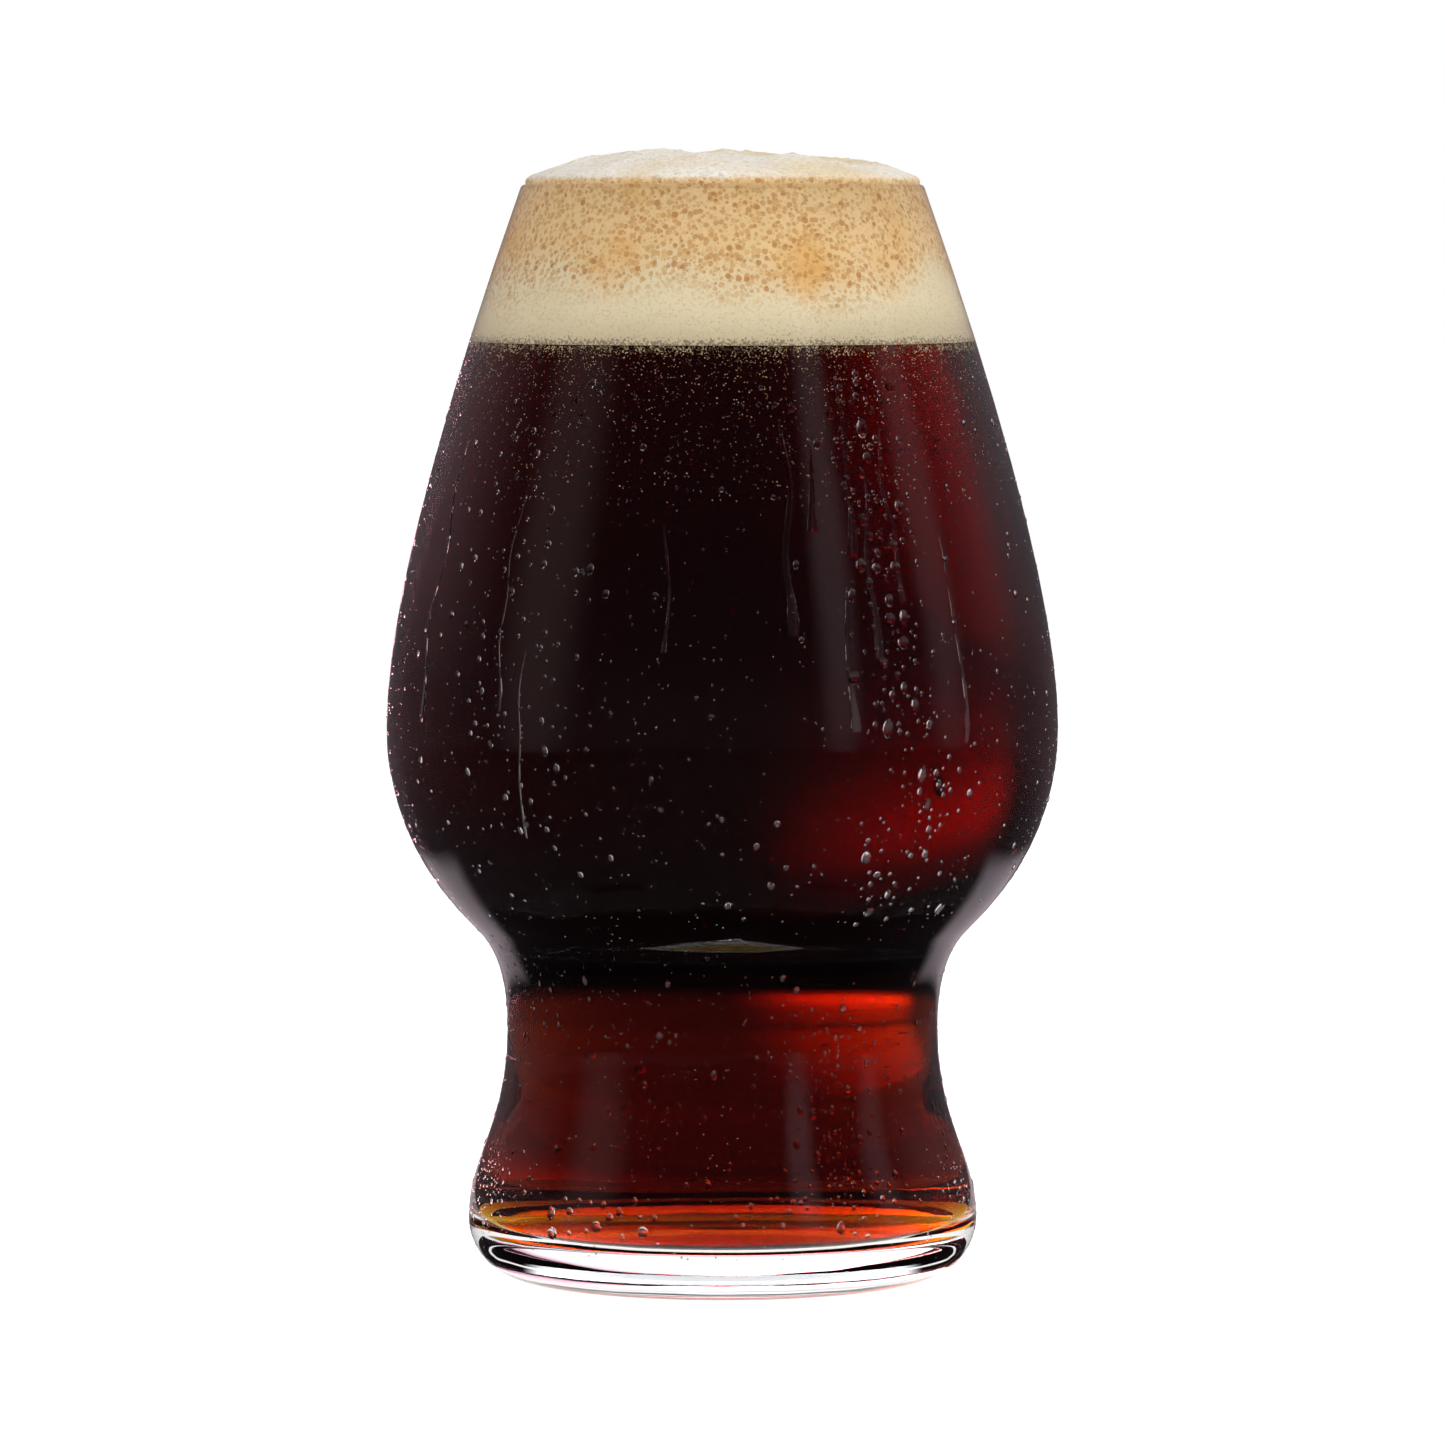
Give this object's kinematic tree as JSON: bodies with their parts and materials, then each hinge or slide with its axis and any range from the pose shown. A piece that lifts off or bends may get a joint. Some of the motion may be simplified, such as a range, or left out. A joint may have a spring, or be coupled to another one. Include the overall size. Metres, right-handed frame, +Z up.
{
  "type": "beer tumbler",
  "caption": "Footed beer tumbler with a drawn-in waist and a wide belly that leans in to the rim, filled with dark beer under a domed head of froth.",
  "frame": {"origin": "centre of the ring that the glass stands on, on the axis of the glass, at table level", "axes": "+Z up along the axis of the glass, out of its mouth; X and Y are level, and the turned shape is the same all round"},
  "size_m": [0.0878, 0.0878, 0.148],
  "materials": {
    "clear_glass": "clear soda-lime glass, fire-polished rim, misted outside with cold droplets",
    "dark_beer": "clear dark beer, near black in depth, deep red where it is thinner and amber at the bottom",
    "beer_froth": "matte cream froth of fine bubbles, tan towards the rim and nearly white on top"
  },
  "bodies": {
    "root": {"tumbler": "clear_glass", "beer": "dark_beer", "foam_head": "beer_froth"}
  },
  "joints": []
}
